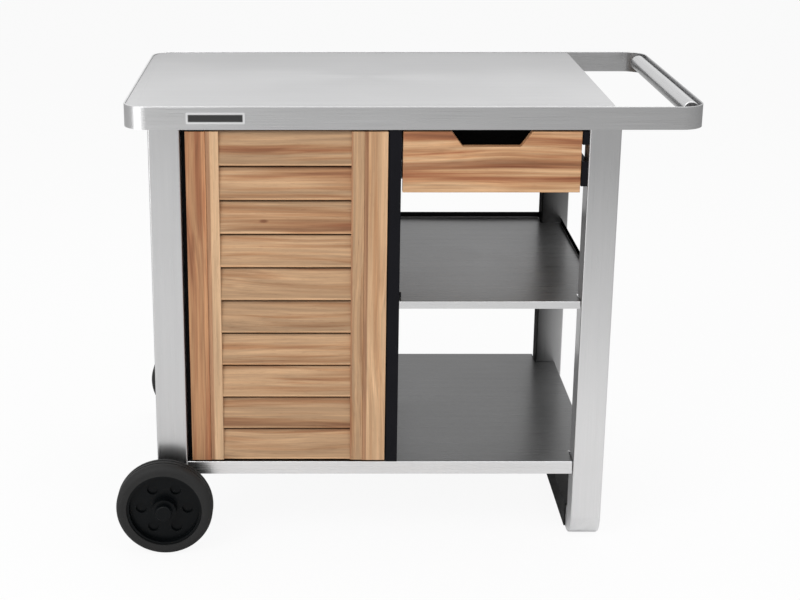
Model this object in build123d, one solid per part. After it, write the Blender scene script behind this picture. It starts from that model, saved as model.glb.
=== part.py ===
from build123d import *
import math
import os

os.makedirs("parts", exist_ok=True)

# Grill cart. Millimetres. +X runs from the wheels to the push handle, -Y is the front with
# the door and the drawer, +Z is up from the floor. The origin is on the floor, under the
# middle of the whole cart.

# Driving dimensions
band_length = 1100.0
band_depth = 600.0
overall_height = 900.0
band_height = 44.0
band_thickness = 3.0
band_corner_radius = 45.0
band_edge_radius = 0.8
hand_gap_length = 172.0
leg_width = 60.0
leg_depth = 50.0
left_leg_inset = 48.0
right_leg_setback = 47.0
wheel_radius = 96.0
wheel_width = 46.0
axle_inset = 64.0
axle_diameter = 12.0
bottom_shelf_height = 175.0
middle_shelf_height = 514.0
divider_share = 0.4582
divider_thickness = 23.0
drawer_front_height = 118.0
handle_diameter = 32.0

# Sheet and tube gauges
sheet = 1.5
sheet_bend_inner = 0.5
tube_wall = 2.0
panel_thickness = 8.0
back_panel_thickness = 8.0

# Worktop
worktop_margin = 20.0
worktop_margin_drop = 2.0
worktop_flange = 36.0
worktop_fit = 0.4
stiffener_width = 60.0
stiffener_depth = 22.0
stiffener_flange = 14.0
stiffener_count = 2

# Top rails
rail_width = 25.0
rail_wall = 1.5

# Handle
handle_wall = 1.5
handle_gap = 0.4
handle_end_clearance = 7.0
handle_plug_flange = 3.0
handle_plug_length = 24.0
handle_plug_dome = 2.0
handle_lug_height = 18.0
handle_plug_fit = 0.02

# Badge plate
badge_inset = 121.0
badge_length = 111.0
badge_height = 22.0
badge_thickness = 1.2
badge_corner = 2.0

# Legs and runner
leg_bend_radius = 52.0
leg_corner = 3.0
selection_margin = 0.01
leg_end_height = 58.0
foot_cap_thickness = 4.0
foot_cap_plug = 14.0
foot_cap_fit = 0.02
insert_thickness = 6.0
insert_screw_radius = 4.0
insert_head_radius = 6.5
insert_head_height = 4.0
runner_cover_thickness = 3.0
runner_cover_end_gap = 6.0
runner_cover_ground_gap = 3.0

# Wheels
tyre_rim_radius = 75.0
tyre_shoulder = 13.0
tyre_groove_depth = 2.0
tyre_groove_width = 3.0
tyre_groove_spacing = 11.0
rim_side_recess = 3.0
rim_flange = 5.0
rim_web = 9.0
rim_web_recess = 12.0
hub_radius = 24.0
hub_length = 50.0
rim_pocket_radius = 11.0
rim_pocket_pitch_radius = 46.0
rim_pocket_depth = 5.0
rim_pocket_count = 6
bush_wall = 3.0
bearing_clearance = 0.05
wheel_end_play = 0.4
washer_thickness = 2.0
washer_radius = 13.0
leg_bush_flange = 8.0
leg_bush_radius = 9.0
leg_bush_flange_radius = 14.0
axle_nut_height = 5.0
axle_nut_radius = 10.0
axle_nut_sides = 6
axle_end_reserve = 1.0
hub_cap_radius = 16.0
hub_cap_height = 11.0
hub_cap_wall = 1.6
hub_cap_lip = 2.0
hub_cap_top_radius = 3.0

# Shelves
shelf_gap_to_leg = 2.0
shelf_reach_past_leg = 44.0
shelf_gap_behind_leg = 3.0
bottom_lip = 27.0
middle_lip = 15.0
middle_upstand = 12.0
shelf_front_reveal = 3.0
shelf_stiffener_width = 80.0
shelf_stiffener_depth = 18.0
spacer_radius = 6.0
bolt_radius = 3.0
bolt_head_radius = 5.5
bolt_head_height = 3.0
bolt_grip = 14.0

# Cabinet
door_thickness = 20.0
door_gap_to_leg = 10.0
door_gap_to_divider = 2.0
door_bottom_gap = 4.0
door_top_gap = 4.0
panel_front_gap = 3.0
stile_left_width = 38.0
stile_right_width = 44.0
inner_stile_width = 25.0
inner_stile_recess = 1.5
slat_count = 10
slat_thickness = 11.0
slat_nose_recess = 1.2
slat_lean = 6.0
slat_gap = 3.6
slat_corner = 4.0
board_corner = 1.2
back_rail_thickness = 10.0
back_rail_height = 46.0
back_rail_end_inset = 12.0
back_rail_edge_inset = 24.0
back_rail_count = 3
pivot_inset = 8.0
pivot_depth = 9.0
pivot_radius = 3.0
pivot_engagement = 30.0
pivot_plate_thickness = 3.0
pivot_plate_width = 22.0
pivot_plate_length = 34.0
pivot_plate_lead = 6.0
pivot_tip_gap = 0.4
catch_width = 46.0
catch_height = 14.0
catch_depth = 16.0
strike_edge_inset = 2.0
strike_thickness = 1.5
strike_fit = 0.4
screw_radius = 1.8
screw_head_radius = 3.6
screw_head_height = 1.6
screw_bite = 9.0
dowel_radius = 4.0
dowel_bite = 24.0
dowel_height_shares = (0.2, 0.8)

# Drawer
drawer_side_gap = 3.0
drawer_top_gap = 4.0
drawer_front_thickness = 18.0
drawer_right_gap = 12.0
drawer_side_thickness = 12.0
drawer_box_height = 88.0
drawer_box_lift = 12.0
drawer_box_length = 440.0
drawer_bottom_thickness = 6.0
drawer_bottom_lift = 4.0
drawer_back_drop = 8.0
cutout_top_width = 152.0
cutout_bottom_width = 110.0
cutout_depth = 29.0
cutout_corner = 3.0
cutout_centre_offset = -1.0
pocket_depth = 30.0
pocket_margin = 6.0
pocket_wall = 2.0
pocket_below = 18.0
pocket_top_gap = 5.0
slide_height = 36.0
slide_sheet = 1.2
slide_width = 13.0
slide_lift = 10.0
slide_fit = 0.3
slide_flange_gap = 1.2
slide_extra = 20.0
slide_front_gap = 2.0
carrier_thickness = 12.0
carrier_reveal = 4.0
upper_carrier_height = 26.0
lower_carrier_height = 48.0
lower_carrier_drop = 59.0

# Places worked out from the driving dimensions
wheel_overhang = wheel_radius - axle_inset
total_length = band_length + wheel_overhang
band_left = wheel_overhang - total_length / 2
band_right = band_left + band_length
front = -band_depth / 2
back = band_depth / 2
band_bottom = overall_height - band_height
left_leg_x = band_left + left_leg_inset
left_leg_end = left_leg_x + leg_width
worktop_right = band_right - hand_gap_length
right_leg_x = worktop_right - right_leg_setback
right_leg_end = right_leg_x + leg_width
divider_x = band_left + band_length * divider_share
bay_left = divider_x + divider_thickness
bay_right = right_leg_x - shelf_gap_to_leg
door_left = left_leg_end + door_gap_to_leg
door_right = divider_x - door_gap_to_divider
door_bottom = bottom_shelf_height + door_bottom_gap
door_top = band_bottom - door_top_gap
door_back = front + door_thickness
panel_front = door_back + panel_front_gap + back_rail_thickness
axle_x = band_left + axle_inset
axle_radius = axle_diameter / 2
rail_top = overall_height - worktop_margin_drop - sheet


def block(x0, x1, y0, y1, z0, z1):
    """A box between two corners."""
    size = Box(x1 - x0, y1 - y0, z1 - z0, align=(Align.MIN, Align.MIN, Align.MIN))
    return Pos(x0, y0, z0) * size


def rod_x(x0, x1, y, z, radius):
    """A round bar along X."""
    bar = Cylinder(radius, x1 - x0, align=(Align.CENTER, Align.CENTER, Align.MIN))
    return Pos(x0, y, z) * Rot(0, 90, 0) * bar


def rod_y(x, y0, y1, z, radius):
    """A round bar along Y."""
    bar = Cylinder(radius, y1 - y0, align=(Align.CENTER, Align.CENTER, Align.MIN))
    return Pos(x, y0, z) * Rot(-90, 0, 0) * bar


def rod_z(x, y, z0, z1, radius):
    """A round bar along Z."""
    bar = Cylinder(radius, z1 - z0, align=(Align.CENTER, Align.CENTER, Align.MIN))
    return Pos(x, y, z0) * bar


def prism_x(points, x0, x1):
    """A (y, z) outline pulled along X."""
    outline = make_face(Plane.YZ * Polyline(*points, close=True))
    return Pos(x0, 0, 0) * extrude(outline, x1 - x0, dir=(1, 0, 0))


def prism_y(points, y0, y1):
    """An (x, z) outline pulled along Y."""
    outline = make_face(Plane.XZ * Polyline(*points, close=True))
    return Pos(0, y0, 0) * extrude(outline, y1 - y0, dir=(0, 1, 0))


def rounded_plate(x0, x1, y0, y1, z0, z1, radius):
    """A plate with four rounded corners, seen from above."""
    outline = RectangleRounded(x1 - x0, y1 - y0, radius)
    return Pos((x0 + x1) / 2, (y0 + y1) / 2, z0) * extrude(outline, z1 - z0)


def write(name, *solids):
    """Writes one node, made of one or more separate solids."""
    pieces = []
    for solid in solids:
        pieces.extend(solid.solids())
    node = Compound(children=pieces) if len(pieces) > 1 else pieces[0]
    export_step(node, f"parts/{name}.step")


def mirrored(solid):
    """The same piece on the rear side of the cart."""
    return mirror(solid, Plane.XZ)


# Top band: one strip of steel bent round the worktop and the hand gap
band_outside = rounded_plate(
    band_left, band_right, front, back, band_bottom, overall_height, band_corner_radius
)
band_inside = rounded_plate(
    band_left + band_thickness,
    band_right - band_thickness,
    front + band_thickness,
    back - band_thickness,
    band_bottom,
    overall_height,
    band_corner_radius - band_thickness,
)
top_band = band_outside - band_inside
write("top_band", fillet(top_band.edges().group_by(Axis.Z)[-1], band_edge_radius))


def worktop_shape(inset, drop):
    """The worktop's outer form, with a margin that falls away on three sides."""
    left = band_left + band_thickness + worktop_fit
    near = front + band_thickness + worktop_fit
    far = back - band_thickness - worktop_fit
    top = overall_height - drop
    low = overall_height - worktop_flange
    edge = top - worktop_margin_drop
    side = prism_x(
        [
            (near, low),
            (near, edge),
            (near + worktop_margin, top),
            (far - worktop_margin, top),
            (far, edge),
            (far, low),
        ],
        left,
        worktop_right,
    )
    end = prism_y(
        [
            (left, low),
            (left, edge),
            (left + worktop_margin, top),
            (worktop_right - inset, top),
            (worktop_right - inset, low),
        ],
        near,
        far,
    )
    corner = band_corner_radius - band_thickness - worktop_fit
    plan = rounded_plate(
        left, worktop_right + 2 * corner, near, far, low, overall_height, corner
    )
    return side & end & plan


# Worktop: a sheet with a folded flange at the hand gap
worktop_hollow = worktop_shape(sheet, sheet)
write("worktop", worktop_shape(0, 0) - worktop_hollow)


def rail(x0, x1, y0, y1, z0, z1, along_x):
    """A square-cut steel tube."""
    outside = block(x0, x1, y0, y1, z0, z1)
    if along_x:
        bore = block(x0, x1, y0 + rail_wall, y1 - rail_wall, z0 + rail_wall, z1 - rail_wall)
    else:
        bore = block(x0 + rail_wall, x1 - rail_wall, y0, y1, z0 + rail_wall, z1 - rail_wall)
    return outside - bore


# Top rails, inside the band and under the worktop, with holes for the leg screws
rail_left = band_left + band_corner_radius
rail_right = worktop_right - sheet
rail_front = front + band_thickness
rail_inner = rail_front + rail_width
left_screw_x = left_leg_x + leg_width / 2
right_screw_x = (right_leg_x + rail_right) / 2
screw_y = rail_front + rail_width / 2


def screw_shank(x):
    """The shank of a screw that joins a leg to a rail."""
    low = band_bottom - insert_thickness
    return rod_z(x, screw_y, low, band_bottom + rail_wall, insert_screw_radius)


front_rail = rail(rail_left, rail_right, rail_front, rail_inner, band_bottom, rail_top, True)
front_rail = front_rail - screw_shank(left_screw_x) - screw_shank(right_screw_x)
write("front_top_rail", front_rail)
write("rear_top_rail", mirrored(front_rail))
write(
    "cross_rails",
    rail(rail_left, rail_left + rail_width, rail_inner, -rail_inner, band_bottom, rail_top, False),
    rail(rail_right - rail_width, rail_right, rail_inner, -rail_inner, band_bottom, rail_top, False),
)

# Hat-shaped stiffeners that carry the middle of the worktop
stiffener_top = overall_height - sheet
stiffener_span = rail_right - rail_left
stiffeners = []
for step in range(stiffener_count):
    centre = rail_left + stiffener_span * (step + 1) / (stiffener_count + 1)
    half = stiffener_width / 2
    brim = half + stiffener_flange
    low = stiffener_top - stiffener_depth
    outline = [
        (centre - brim, stiffener_top),
        (centre - half + sheet, stiffener_top),
        (centre - half + sheet, low + sheet),
        (centre + half - sheet, low + sheet),
        (centre + half - sheet, stiffener_top),
        (centre + brim, stiffener_top),
        (centre + brim, stiffener_top - sheet),
        (centre + half, stiffener_top - sheet),
        (centre + half, low),
        (centre - half, low),
        (centre - half, stiffener_top - sheet),
        (centre - brim, stiffener_top - sheet),
    ]
    stiffeners.append(prism_y(outline, rail_inner, -rail_inner))
write("worktop_stiffeners", *stiffeners)

# Push handle: a round tube just inside the band's nose, on two end plugs
handle_radius = handle_diameter / 2
handle_x = band_right - band_thickness - handle_gap - handle_radius
handle_z = overall_height - handle_radius
handle_end = front + band_corner_radius + handle_end_clearance
handle_tube = rod_y(handle_x, handle_end, -handle_end, handle_z, handle_radius)
handle_bore = rod_y(
    handle_x, handle_end, -handle_end, handle_z, handle_radius - handle_wall
)
write("handle_bar", handle_tube - handle_bore)
plug_disc = rod_y(
    handle_x, handle_end - handle_plug_flange, handle_end, handle_z, handle_radius
)
plug_disc = fillet(plug_disc.edges().sort_by(Axis.Y)[0], handle_plug_dome)
plug_spigot = rod_y(
    handle_x,
    handle_end,
    handle_end + handle_plug_length,
    handle_z,
    handle_radius - handle_wall - handle_plug_fit,
)
plug_lug = block(
    handle_x,
    band_right - band_thickness,
    handle_end - handle_plug_flange,
    handle_end,
    handle_z - handle_lug_height / 2,
    handle_z + handle_lug_height / 2,
)
handle_plug = plug_disc + plug_spigot + plug_lug
write("handle_end_plugs", handle_plug, mirrored(handle_plug))

# Plain badge plate on the front of the band
badge_z = (band_bottom + overall_height) / 2
badge_outline = RectangleRounded(badge_length, badge_height, badge_corner)
badge_plane = Plane(
    origin=(band_left + badge_inset + badge_length / 2, front, badge_z),
    x_dir=(1, 0, 0),
    z_dir=(0, -1, 0),
)
write("badge_plate", extrude(badge_plane * badge_outline, badge_thickness))


def tube_leg(x0, y0, z0, z1):
    """An upright of rectangular tube."""
    outside = rounded_plate(x0, x0 + leg_width, y0, y0 + leg_depth, z0, z1, leg_corner)
    bore = rounded_plate(
        x0 + tube_wall,
        x0 + leg_width - tube_wall,
        y0 + tube_wall,
        y0 + leg_depth - tube_wall,
        z0,
        z1,
        leg_corner - tube_wall,
    )
    return outside - bore


# Left legs, which carry the axle, with a hole for the flanged axle bush
axle_z = wheel_radius
bush_hole = rod_y(axle_x, front, front + leg_depth, axle_z, leg_bush_radius)
front_left_leg = tube_leg(left_leg_x, front, leg_end_height, band_bottom) - bush_hole

foot_cap = rounded_plate(
    left_leg_x,
    left_leg_end,
    front,
    front + leg_depth,
    leg_end_height - foot_cap_thickness,
    leg_end_height,
    leg_corner,
)
foot_plug_inset = tube_wall + foot_cap_fit
foot_plug = rounded_plate(
    left_leg_x + foot_plug_inset,
    left_leg_end - foot_plug_inset,
    front + foot_plug_inset,
    front + leg_depth - foot_plug_inset,
    leg_end_height,
    leg_end_height + foot_cap_plug,
    leg_corner - tube_wall,
)
foot_cap = foot_cap + foot_plug
write("left_leg_caps", foot_cap, mirrored(foot_cap))


def bent_loop(inset, x0, x1):
    """The upright, runner and upright of the right foot, less a wall thickness."""
    outer = make_face(
        Plane.YZ
        * Polyline(
            (front + inset, band_bottom),
            (front + inset, inset),
            (back - inset, inset),
            (back - inset, band_bottom),
            close=True,
        )
    )
    outer = fillet(outer.vertices().sort_by(Axis.Z)[:2], leg_bend_radius - inset)
    inner_edge = leg_depth - inset
    inner = make_face(
        Plane.YZ
        * Polyline(
            (front + inner_edge, band_bottom),
            (front + inner_edge, inner_edge),
            (back - inner_edge, inner_edge),
            (back - inner_edge, band_bottom),
            close=True,
        )
    )
    inner_radius = max(leg_bend_radius - leg_depth, 0) + leg_corner + inset
    inner = fillet(inner.vertices().sort_by(Axis.Z)[:2], inner_radius)
    return Pos(x0, 0, 0) * extrude(outer - inner, x1 - x0, dir=(1, 0, 0))


# Right foot: one tube bent twice, with a flat runner on the floor
right_loop = bent_loop(0, right_leg_x, right_leg_end)
long_edges = right_loop.edges().group_by(Axis.X)
right_loop = fillet(
    (long_edges[0] + long_edges[-1]).filter_by(
        lambda edge: edge.center().Z < band_bottom - selection_margin
    ),
    leg_corner,
)
right_loop = right_loop - bent_loop(
    tube_wall, right_leg_x + tube_wall, right_leg_end - tube_wall
)

# Black cover over the inner side and the top of the runner
cover_end = front + leg_depth + leg_corner + tube_wall + runner_cover_end_gap
cover_left = right_leg_x - runner_cover_thickness
cover_top = leg_depth + runner_cover_thickness
runner_cover = prism_y(
    [
        (cover_left, runner_cover_ground_gap),
        (right_leg_x, runner_cover_ground_gap),
        (right_leg_x, leg_depth),
        (right_leg_end, leg_depth),
        (right_leg_end, cover_top),
        (cover_left, cover_top),
    ],
    cover_end,
    -cover_end,
)
write("runner_cover", runner_cover)


def top_insert(x0, y0):
    """A steel plate welded inside the top of a leg, which its screw pulls to the rail."""
    return rounded_plate(
        x0 + tube_wall,
        x0 + leg_width - tube_wall,
        y0 + tube_wall,
        y0 + leg_depth - tube_wall,
        band_bottom - insert_thickness,
        band_bottom,
        leg_corner - tube_wall,
    )


inserts = []
top_screws = []
for leg_x, screw_x in ((left_leg_x, left_screw_x), (right_leg_x, right_screw_x)):
    head_top = band_bottom - insert_thickness
    screw_head = rod_z(
        screw_x, screw_y, head_top - insert_head_height, head_top, insert_head_radius
    )
    screw = screw_shank(screw_x) + screw_head
    insert = top_insert(leg_x, front) - screw
    inserts.extend([insert, mirrored(insert)])
    top_screws.extend([screw, mirrored(screw)])
write("leg_top_inserts", *inserts)
write("leg_top_screws", *top_screws)

# Axle: one fixed steel rod across the cart, in a flanged bush in each left leg
hub_near = front - leg_bush_flange - washer_thickness - wheel_end_play
hub_far = hub_near - hub_length
wheel_y = (hub_near + hub_far) / 2
axle_end = hub_far - wheel_end_play - washer_thickness - axle_nut_height - axle_end_reserve
write("axle", rod_y(axle_x, axle_end, -axle_end, axle_z, axle_radius))

leg_bush = rod_y(axle_x, front, front + leg_depth, axle_z, leg_bush_radius) + rod_y(
    axle_x, front - leg_bush_flange, front, axle_z, leg_bush_flange_radius
)
leg_bush = leg_bush - rod_y(
    axle_x, front - leg_bush_flange, front + leg_depth, axle_z, axle_radius
)
write("axle_bushes", leg_bush, mirrored(leg_bush))


def washer(y):
    """A plain washer on the axle, whose far face is at y."""
    ring = rod_y(axle_x, y, y + washer_thickness, axle_z, washer_radius)
    return ring - rod_y(axle_x, y, y + washer_thickness, axle_z, axle_radius)


inner_washer = washer(front - leg_bush_flange - washer_thickness)
outer_washer_y = hub_far - wheel_end_play - washer_thickness
outer_washer = washer(outer_washer_y)
write(
    "axle_washers",
    inner_washer,
    outer_washer,
    mirrored(inner_washer),
    mirrored(outer_washer),
)
nut_plane = Plane(origin=(axle_x, outer_washer_y, axle_z), z_dir=(0, -1, 0))
axle_nut = extrude(nut_plane * RegularPolygon(axle_nut_radius, axle_nut_sides), axle_nut_height)
axle_nut = axle_nut - rod_y(
    axle_x, outer_washer_y - axle_nut_height, outer_washer_y, axle_z, axle_radius
)
write("axle_nuts", axle_nut, mirrored(axle_nut))


def turned(points):
    """A (radius, y) outline turned about the front wheel's axis."""
    outline = make_face(Plane.XY * Polyline(*points, close=True))
    return Pos(axle_x, 0, axle_z) * revolve(outline, Axis.Y)


# Front tyre, with rounded shoulders and shallow running grooves
tyre_near = wheel_y + wheel_width / 2
tyre_far = wheel_y - wheel_width / 2
tyre_outline = make_face(
    Plane.XY
    * Polyline(
        (tyre_rim_radius, tyre_far),
        (wheel_radius, tyre_far),
        (wheel_radius, tyre_near),
        (tyre_rim_radius, tyre_near),
        close=True,
    )
)
tyre_outline = fillet(tyre_outline.vertices().sort_by(Axis.X)[-2:], tyre_shoulder)
front_tyre = Pos(axle_x, 0, axle_z) * revolve(tyre_outline, Axis.Y)
groove_floor = wheel_radius - tyre_groove_depth
for side in (-1, 1):
    groove_y = wheel_y + side * tyre_groove_spacing / 2
    front_tyre = front_tyre - turned(
        [
            (groove_floor, groove_y - tyre_groove_width / 2),
            (wheel_radius + tyre_groove_depth, groove_y - tyre_groove_width / 2),
            (wheel_radius + tyre_groove_depth, groove_y + tyre_groove_width / 2),
            (groove_floor, groove_y + tyre_groove_width / 2),
        ]
    )

# Front rim: flange, dished web with round pockets, and hub
rim_far = tyre_far + rim_side_recess
rim_near = tyre_near - rim_side_recess
web_far = rim_far + rim_web_recess
web_near = web_far + rim_web
bush_radius = axle_radius + bearing_clearance + bush_wall
front_rim = turned(
    [
        (bush_radius, hub_far),
        (hub_radius, hub_far),
        (hub_radius, web_far),
        (tyre_rim_radius - rim_flange, web_far),
        (tyre_rim_radius - rim_flange, rim_far),
        (tyre_rim_radius, rim_far),
        (tyre_rim_radius, rim_near),
        (tyre_rim_radius - rim_flange, rim_near),
        (tyre_rim_radius - rim_flange, web_near),
        (hub_radius, web_near),
        (hub_radius, hub_near),
        (bush_radius, hub_near),
    ]
)
for step in range(rim_pocket_count):
    angle = 2 * math.pi * step / rim_pocket_count
    pocket_x = axle_x + rim_pocket_pitch_radius * math.cos(angle)
    pocket_z = axle_z + rim_pocket_pitch_radius * math.sin(angle)
    front_rim = front_rim - rod_y(
        pocket_x, web_far, web_far + rim_pocket_depth, pocket_z, rim_pocket_radius
    )

front_bush = rod_y(axle_x, hub_far, hub_near, axle_z, bush_radius) - rod_y(
    axle_x, hub_far, hub_near, axle_z, axle_radius + bearing_clearance
)

# Front hub cap: a cup pressed on the hub's outer face, over the axle nut
cap_outer = hub_far - hub_cap_height
front_cap = rod_y(axle_x, cap_outer, hub_far, axle_z, hub_cap_radius)
front_cap = fillet(front_cap.edges().sort_by(Axis.Y)[0], hub_cap_top_radius)
front_cap = front_cap - rod_y(
    axle_x, cap_outer + hub_cap_lip, hub_far, axle_z, hub_cap_radius - hub_cap_wall
)

for name, piece in (
    ("tyre", front_tyre),
    ("rim", front_rim),
    ("wheel_bush", front_bush),
    ("hub_cap", front_cap),
):
    write(f"front_{name}", piece)
    write(f"rear_{name}", mirrored(piece))


# Bottom shelf: a sheet with lips folded down all round. Its right end passes between the
# legs of the loop.
shelf_front = front + shelf_front_reveal
tongue_front = front + leg_depth + shelf_gap_behind_leg
tongue_right = right_leg_x + shelf_reach_past_leg
bottom_low = bottom_shelf_height - bottom_lip
sheet_bend_outer = sheet_bend_inner + sheet
bottom_outside = block(
    left_leg_end, bay_right, shelf_front, -shelf_front, bottom_low, bottom_shelf_height
) + block(
    bay_right, tongue_right, tongue_front, -tongue_front, bottom_low, bottom_shelf_height
)
bottom_outside = fillet(bottom_outside.edges().group_by(Axis.Z)[-1], sheet_bend_outer)
bottom_inside = block(
    left_leg_end + sheet,
    bay_right - sheet,
    shelf_front + sheet,
    -shelf_front - sheet,
    bottom_low,
    bottom_shelf_height - sheet,
) + block(
    bay_right - sheet,
    tongue_right - sheet,
    tongue_front + sheet,
    -tongue_front - sheet,
    bottom_low,
    bottom_shelf_height - sheet,
)
bottom_inside = fillet(bottom_inside.edges().group_by(Axis.Z)[-1], sheet_bend_inner)
bottom_shelf = bottom_outside - bottom_inside

# Middle shelf: front lip and the tabs beside the legs down, the other edges turned up
middle_low = middle_shelf_height - middle_lip
middle_top = middle_shelf_height + middle_upstand
middle_under = middle_shelf_height - sheet
middle_sheet = block(
    bay_left, bay_right, shelf_front, -shelf_front, middle_under, middle_shelf_height
)
middle_front = block(
    bay_left, bay_right, shelf_front, shelf_front + sheet, middle_low, middle_shelf_height
)
middle_shelf = middle_sheet + middle_front
front_bend = middle_shelf.edges().filter_by(Axis.X).group_by(Axis.Y)[0].sort_by(Axis.Z)[-1]
middle_shelf = fillet(front_bend, sheet_bend_outer)
upstand_front = shelf_front + sheet_bend_outer
middle_shelf = middle_shelf + block(
    bay_right - sheet,
    tongue_right,
    tongue_front,
    -tongue_front,
    middle_under,
    middle_shelf_height,
)
for x0, x1, y0, y1 in (
    (bay_left, right_leg_x, -shelf_front - sheet, -shelf_front),
    (bay_left, bay_left + sheet, upstand_front, -shelf_front),
    (tongue_right - sheet, tongue_right, tongue_front, -tongue_front),
):
    middle_shelf = middle_shelf + block(x0, x1, y0, y1, middle_under, middle_top)
tab = block(
    bay_right - sheet, bay_right, upstand_front, tongue_front, middle_low, middle_shelf_height
)
middle_shelf = middle_shelf + tab + mirrored(tab)

# Bolts through the shelf edges, with spacers on the right, where the bay stops short of the leg
bottom_bolt_z = bottom_shelf_height - bottom_lip / 2
middle_bolt_z = middle_shelf_height + middle_upstand / 2
tab_bolt_z = middle_shelf_height - middle_lip / 2
leg_centre_y = front + leg_depth / 2
bolts = []
spacers = []


def shelf_shank(tip_x, head_x, z):
    """The shank of a front shelf bolt, along X."""
    return rod_x(min(tip_x, head_x), max(tip_x, head_x), leg_centre_y, z, bolt_radius)


def shelf_bolt(tip_x, head_x, z):
    """A front shelf bolt, with its head beyond head_x."""
    head_end = head_x + math.copysign(bolt_head_height, head_x - tip_x)
    head = rod_x(
        min(head_x, head_end), max(head_x, head_end), leg_centre_y, z, bolt_head_radius
    )
    return shelf_shank(tip_x, head_x, z) + head


for bolt_z in (bottom_bolt_z, tab_bolt_z):
    spacer = rod_x(bay_right, right_leg_x, leg_centre_y, bolt_z, spacer_radius)
    shank = shelf_shank(right_leg_x + tube_wall, bay_right - sheet, bolt_z)
    bolt = shelf_bolt(right_leg_x + tube_wall, bay_right - sheet, bolt_z)
    spacers.extend([spacer - shank, mirrored(spacer - shank)])
    bolts.extend([bolt, mirrored(bolt)])
    right_loop = right_loop - shank - mirrored(shank)
    bottom_shelf = bottom_shelf - shank - mirrored(shank)
    middle_shelf = middle_shelf - shank - mirrored(shank)

left_bolt = shelf_bolt(left_leg_end - tube_wall, left_leg_end + sheet, bottom_bolt_z)
left_shank = shelf_shank(left_leg_end - tube_wall, left_leg_end + sheet, bottom_bolt_z)
divider_bolt = shelf_bolt(bay_left - bolt_grip, bay_left + sheet, middle_bolt_z)
divider_shank = shelf_shank(bay_left - bolt_grip, bay_left + sheet, middle_bolt_z)
bolts.extend([left_bolt, mirrored(left_bolt), divider_bolt, mirrored(divider_bolt)])
bottom_shelf = bottom_shelf - left_shank - mirrored(left_shank)
middle_shelf = middle_shelf - divider_shank - mirrored(divider_shank)
front_left_leg = front_left_leg - left_shank
write("right_leg_loop", right_loop)
write("front_left_leg", front_left_leg)
write("rear_left_leg", mirrored(front_left_leg))
write("bottom_shelf", bottom_shelf)
write("middle_shelf", middle_shelf)
write("shelf_spacers", *spacers)
write("shelf_bolts", *bolts)

# Channel under the bottom shelf, from lip to lip
beam_centre = (left_leg_end + bay_right) / 2
beam_top = bottom_shelf_height - sheet
beam_start = shelf_front + sheet + sheet_bend_inner
beam = block(
    beam_centre - shelf_stiffener_width / 2,
    beam_centre + shelf_stiffener_width / 2,
    beam_start,
    -beam_start,
    beam_top - shelf_stiffener_depth,
    beam_top,
) - block(
    beam_centre - shelf_stiffener_width / 2 + sheet,
    beam_centre + shelf_stiffener_width / 2 - sheet,
    beam_start,
    -beam_start,
    beam_top - shelf_stiffener_depth + sheet,
    beam_top,
)
write("bottom_shelf_stiffener", beam)

# Near-black panels: divider, cabinet side and cabinet back
side_panel_end = left_leg_end + panel_thickness
cabinet_back_y = -shelf_front - back_panel_thickness
divider = block(
    divider_x, bay_left, shelf_front, -shelf_front, bottom_shelf_height, band_bottom
)
write("divider_panel", divider - divider_shank - mirrored(divider_shank))
write(
    "cabinet_side_panel",
    block(
        left_leg_end,
        side_panel_end,
        panel_front,
        cabinet_back_y,
        bottom_shelf_height,
        band_bottom,
    ),
)
write(
    "cabinet_back_panel",
    block(
        left_leg_end,
        divider_x,
        cabinet_back_y,
        -shelf_front,
        bottom_shelf_height,
        band_bottom,
    ),
)

# Door pivots: a plate on the shelf and one under the rail, each with a hole for a pin
pivot_x = door_left + pivot_inset
pivot_y = front + pivot_depth
pivot_hole_radius = pivot_radius + bearing_clearance
plate_left = pivot_x - pivot_plate_lead
plate_front = pivot_y - pivot_plate_lead


def pivot_plate(z0, z1):
    """A small plate with the pivot hole near its front left corner."""
    plate = block(
        plate_left,
        plate_left + pivot_plate_length,
        plate_front,
        plate_front + pivot_plate_width,
        z0,
        z1,
    )
    return plate - rod_z(pivot_x, pivot_y, z0, z1, pivot_hole_radius)


write(
    "door_pivot_plates",
    pivot_plate(bottom_shelf_height, bottom_shelf_height + pivot_plate_thickness),
    pivot_plate(band_bottom - pivot_plate_thickness, band_bottom),
)
low_pin = rod_z(
    pivot_x,
    pivot_y,
    bottom_shelf_height + pivot_tip_gap,
    door_bottom + pivot_engagement,
    pivot_radius,
)
high_pin = rod_z(
    pivot_x, pivot_y, door_top - pivot_engagement, band_bottom - pivot_tip_gap, pivot_radius
)
write("door_pivot_pins", low_pin, high_pin)

# Door back rails, screwed to the stiles from behind
left_stile_end = door_left + stile_left_width
left_inner_end = left_stile_end + inner_stile_width
right_stile_start = door_right - stile_right_width
right_inner_start = right_stile_start - inner_stile_width
rail_back = door_back + back_rail_thickness
back_rail_left = pivot_x + pivot_radius + back_rail_end_inset
back_rail_right = door_right - back_rail_end_inset
back_rail_span = door_top - door_bottom - 2 * back_rail_edge_inset - back_rail_height


def door_board(x0, x1, y0):
    """An upright board of the door, with softened edges round its front face."""
    board = block(x0, x1, y0, door_back, door_bottom, door_top)
    return fillet(board.edges().group_by(Axis.Y)[0], board_corner)


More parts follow.
